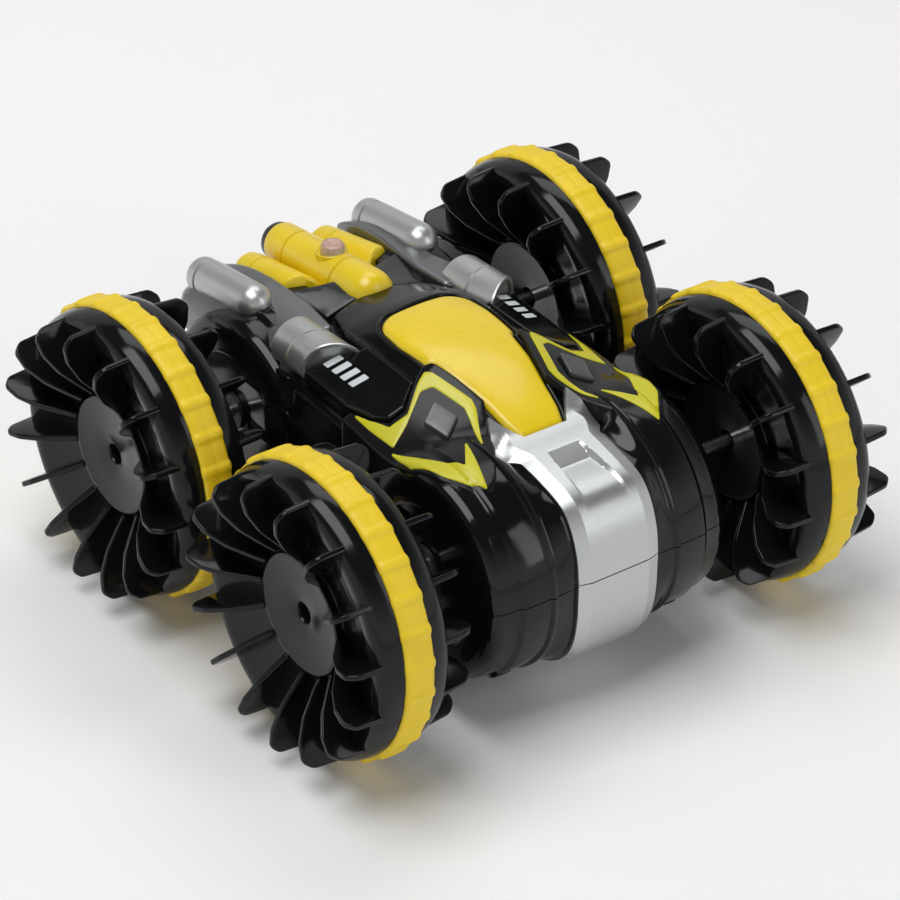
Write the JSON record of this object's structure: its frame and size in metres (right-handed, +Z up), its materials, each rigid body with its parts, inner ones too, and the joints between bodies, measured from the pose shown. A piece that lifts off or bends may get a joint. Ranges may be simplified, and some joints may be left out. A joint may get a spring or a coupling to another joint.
{
  "type": "rc stunt car",
  "caption": "Double-sided remote-control stunt car with paddle-finned amphibious wheels, yellow canopy, silver nose guard and geared drive to every wheel.",
  "frame": {"origin": "middle of the car on the axle plane, half-way between the four wheels", "axes": "+X towards the nose, +Y to the car's left along the axles, +Z up"},
  "size_m": [0.2082, 0.2132, 0.1014],
  "materials": {
    "hub_black": "gloss",
    "tyre_yellow": "satin",
    "steel": "bright",
    "gear_nylon": "natural nylon",
    "brass": "machined",
    "motor_can": "plated",
    "gearbox_grey": "moulded",
    "shell_black": "gloss",
    "canopy_yellow": "satin gloss",
    "silver": "satin silver paint",
    "trim_black": "gloss",
    "button_clear": "clear with rose-gold top",
    "gunmetal": "satin",
    "shield_black": "satin with printed chartreuse bands",
    "battery_wrap": "heat-shrink film",
    "chartreuse": "printed film on the shields",
    "seal_rubber": "silicone",
    "board_green": "solder mask"
  },
  "bodies": {
    "body": {"motor_front_right": "motor_can", "gearbox_front_right": "gearbox_grey", "motor_rear_right": "motor_can", "gearbox_rear_right": "gearbox_grey", "motor_front_left": "motor_can", "gearbox_front_left": "gearbox_grey", "motor_rear_left": "motor_can", "gearbox_rear_left": "gearbox_grey", "upper_shell": "shell_black", "lower_shell": "shell_black", "canopy": "canopy_yellow", "engine_cover": "canopy_yellow", "nose_guard_upper": "silver", "nose_guard_lower": "silver", "engine_end_cap": "trim_black", "power_switch": "trim_black", "shoulder_panel_right": "gunmetal", "rear_pod_right": "silver", "intake_pod_right": "silver", "side_shield_right": "shield_black", "shoulder_panel_left": "gunmetal", "rear_pod_left": "silver", "intake_pod_left": "silver", "side_shield_left": "shield_black", "battery_pack": "battery_wrap", "battery_door": "shell_black", "battery_seal": "seal_rubber", "circuit_board": "board_green", "shell_screws": "steel", "door_screws": "steel", "axle_bushes": "trim_black"},
    "wheel_front_right": {"hub_outer_front_right": "hub_black", "hub_inner_front_right": "hub_black", "tyre_front_right": "tyre_yellow", "axle_front_right": "steel", "output_gear_front_right": "gear_nylon"},
    "idler_front_right": {"idler_gear_front_right": "gear_nylon"},
    "pinion_front_right": {"motor_pinion_front_right": "brass"},
    "wheel_rear_right": {"hub_outer_rear_right": "hub_black", "hub_inner_rear_right": "hub_black", "tyre_rear_right": "tyre_yellow", "axle_rear_right": "steel", "output_gear_rear_right": "gear_nylon"},
    "idler_rear_right": {"idler_gear_rear_right": "gear_nylon"},
    "pinion_rear_right": {"motor_pinion_rear_right": "brass"},
    "wheel_front_left": {"hub_outer_front_left": "hub_black", "hub_inner_front_left": "hub_black", "tyre_front_left": "tyre_yellow", "axle_front_left": "steel", "output_gear_front_left": "gear_nylon"},
    "idler_front_left": {"idler_gear_front_left": "gear_nylon"},
    "pinion_front_left": {"motor_pinion_front_left": "brass"},
    "wheel_rear_left": {"hub_outer_rear_left": "hub_black", "hub_inner_rear_left": "hub_black", "tyre_rear_left": "tyre_yellow", "axle_rear_left": "steel", "output_gear_rear_left": "gear_nylon"},
    "idler_rear_left": {"idler_gear_rear_left": "gear_nylon"},
    "pinion_rear_left": {"motor_pinion_rear_left": "brass"},
    "button": {"power_button": "button_clear"}
  },
  "joints": [
    {"name": "wheel_spin_front_right", "type": "hinge", "parent": "body", "child": "wheel_front_right", "pos_m": [0.0534, -0.0832, 0], "axis": [0, 1, 0], "continuous": true},
    {"name": "idler_spin_front_right", "type": "hinge", "parent": "body", "child": "idler_front_right", "pos_m": [0.039, -0.038, 0], "axis": [0, 1, 0], "continuous": true},
    {"name": "pinion_spin_front_right", "type": "hinge", "parent": "body", "child": "pinion_front_right", "pos_m": [0.0246, -0.036, 0], "axis": [0, 1, 0], "continuous": true},
    {"name": "wheel_spin_rear_right", "type": "hinge", "parent": "body", "child": "wheel_rear_right", "pos_m": [-0.0534, -0.0832, 0], "axis": [0, 1, 0], "continuous": true},
    {"name": "idler_spin_rear_right", "type": "hinge", "parent": "body", "child": "idler_rear_right", "pos_m": [-0.039, -0.038, 0], "axis": [0, 1, 0], "continuous": true},
    {"name": "pinion_spin_rear_right", "type": "hinge", "parent": "body", "child": "pinion_rear_right", "pos_m": [-0.0246, -0.036, 0], "axis": [0, 1, 0], "continuous": true},
    {"name": "wheel_spin_front_left", "type": "hinge", "parent": "body", "child": "wheel_front_left", "pos_m": [0.0534, 0.0832, 0], "axis": [0, 1, 0], "continuous": true},
    {"name": "idler_spin_front_left", "type": "hinge", "parent": "body", "child": "idler_front_left", "pos_m": [0.039, 0.038, 0], "axis": [0, 1, 0], "continuous": true},
    {"name": "pinion_spin_front_left", "type": "hinge", "parent": "body", "child": "pinion_front_left", "pos_m": [0.0246, 0.036, 0], "axis": [0, 1, 0], "continuous": true},
    {"name": "wheel_spin_rear_left", "type": "hinge", "parent": "body", "child": "wheel_rear_left", "pos_m": [-0.0534, 0.0832, 0], "axis": [0, 1, 0], "continuous": true},
    {"name": "idler_spin_rear_left", "type": "hinge", "parent": "body", "child": "idler_rear_left", "pos_m": [-0.039, 0.038, 0], "axis": [0, 1, 0], "continuous": true},
    {"name": "pinion_spin_rear_left", "type": "hinge", "parent": "body", "child": "pinion_rear_left", "pos_m": [-0.0246, 0.036, 0], "axis": [0, 1, 0], "continuous": true},
    {"name": "power_button_press", "type": "slide", "parent": "body", "child": "button", "axis": [0, 0, -1], "range_m": [0, 0.0012], "stiffness_N_per_m": 600, "springref_m": -0.0004}
  ],
  "couplings": [
    {"joint": "idler_spin_front_right", "follows": "wheel_spin_front_right", "ratio": -3},
    {"joint": "pinion_spin_front_right", "follows": "wheel_spin_front_right", "ratio": 9},
    {"joint": "idler_spin_rear_right", "follows": "wheel_spin_rear_right", "ratio": -3},
    {"joint": "pinion_spin_rear_right", "follows": "wheel_spin_rear_right", "ratio": 9},
    {"joint": "idler_spin_front_left", "follows": "wheel_spin_front_left", "ratio": -3},
    {"joint": "pinion_spin_front_left", "follows": "wheel_spin_front_left", "ratio": 9},
    {"joint": "idler_spin_rear_left", "follows": "wheel_spin_rear_left", "ratio": -3},
    {"joint": "pinion_spin_rear_left", "follows": "wheel_spin_rear_left", "ratio": 9}
  ]
}
